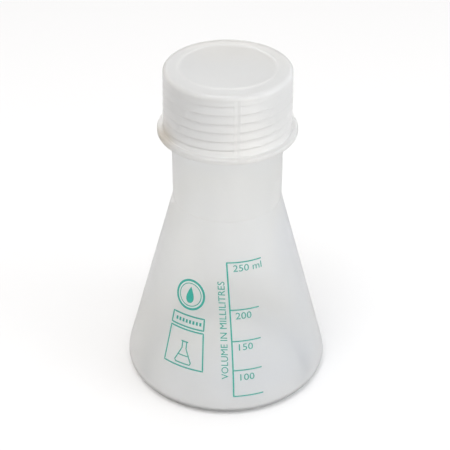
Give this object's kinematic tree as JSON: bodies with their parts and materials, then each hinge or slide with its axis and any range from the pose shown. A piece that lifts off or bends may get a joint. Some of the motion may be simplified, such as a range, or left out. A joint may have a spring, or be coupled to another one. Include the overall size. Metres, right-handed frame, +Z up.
{
  "type": "erlenmeyer flask",
  "caption": "Conical laboratory flask in frosted plastic with a wide cylindrical neck, a flanged screw cap with a ring on its flat top, and a graduated scale on the cone.",
  "frame": {"origin": "centre of the flask's foot, on the surface it stands on", "axes": "+Z up along the flask's axis; -Y is the front, where the scale is printed"},
  "size_m": [0.088, 0.088, 0.1435],
  "materials": {
    "frosted_plastic": "translucent natural polypropylene, softly frosted",
    "soft_seal": "soft white polyethylene foam, matt",
    "cap_plastic": "translucent natural polypropylene, satin"
  },
  "bodies": {
    "flask": {"flask_body": "frosted_plastic"},
    "washer": {"seal_washer": "soft_seal"},
    "cap": {"screw_cap": "cap_plastic"}
  },
  "joints": [
    {"name": "cap_lift", "type": "slide", "parent": "flask", "child": "washer", "axis": [0, 0, 1], "range_m": [0, 0.0188]},
    {"name": "cap_turn", "type": "hinge", "parent": "washer", "child": "cap", "pos_m": [0, 0, 0.1394], "axis": [0, 0, 1], "range_deg": [0, 1800]}
  ],
  "couplings": [
    {"joint": "cap_lift", "follows": "cap_turn", "m_per_rad": 0.00059683}
  ]
}
